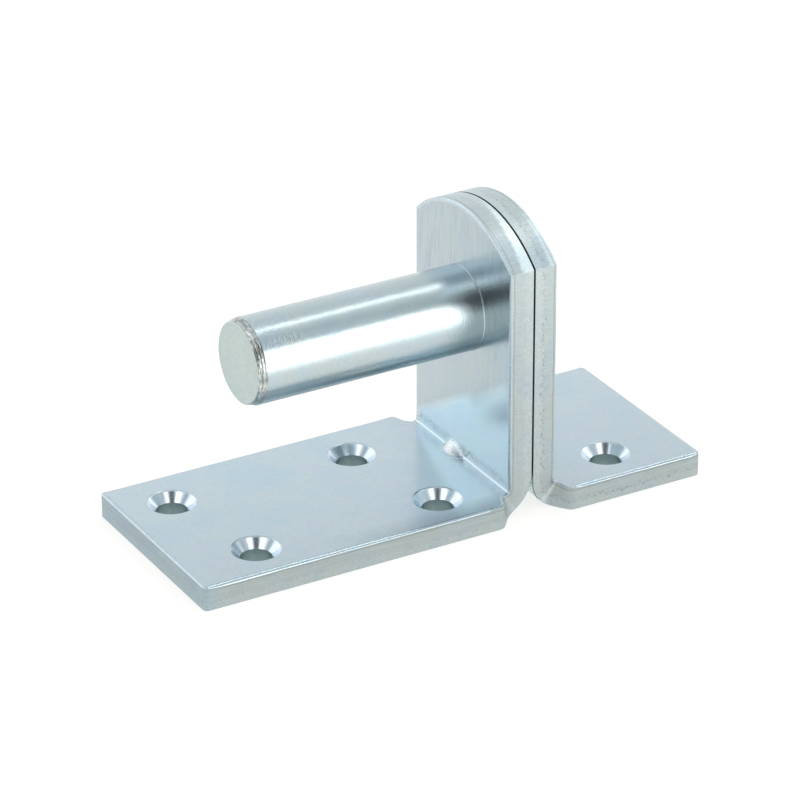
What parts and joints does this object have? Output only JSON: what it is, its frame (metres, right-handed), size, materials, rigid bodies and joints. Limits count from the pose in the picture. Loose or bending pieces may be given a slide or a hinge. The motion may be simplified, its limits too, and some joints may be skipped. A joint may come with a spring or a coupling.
{
  "type": "gate hinge hook",
  "caption": "Screw-on gate hinge hook: two folded steel brackets, riveted back to back by a hinge pin that stands parallel to the mounting plate.",
  "frame": {"origin": "middle of the mounting face, under both plates, at mid-length and mid-width of the whole hook", "axes": "+X along the plates toward the short one, so the long plate and the pin's free end point toward -X; +Z away from the post"},
  "size_m": [0.1024, 0.041, 0.0548],
  "materials": {
    "bright_zinc": "blue-bright zinc plate on hot-formed strip, satin",
    "turned_zinc": "blue-bright zinc plate on turned bar, satin to bright"
  },
  "bodies": {
    "root": {"long_bracket": "bright_zinc", "short_bracket": "bright_zinc", "hinge_pin": "turned_zinc"}
  },
  "joints": []
}
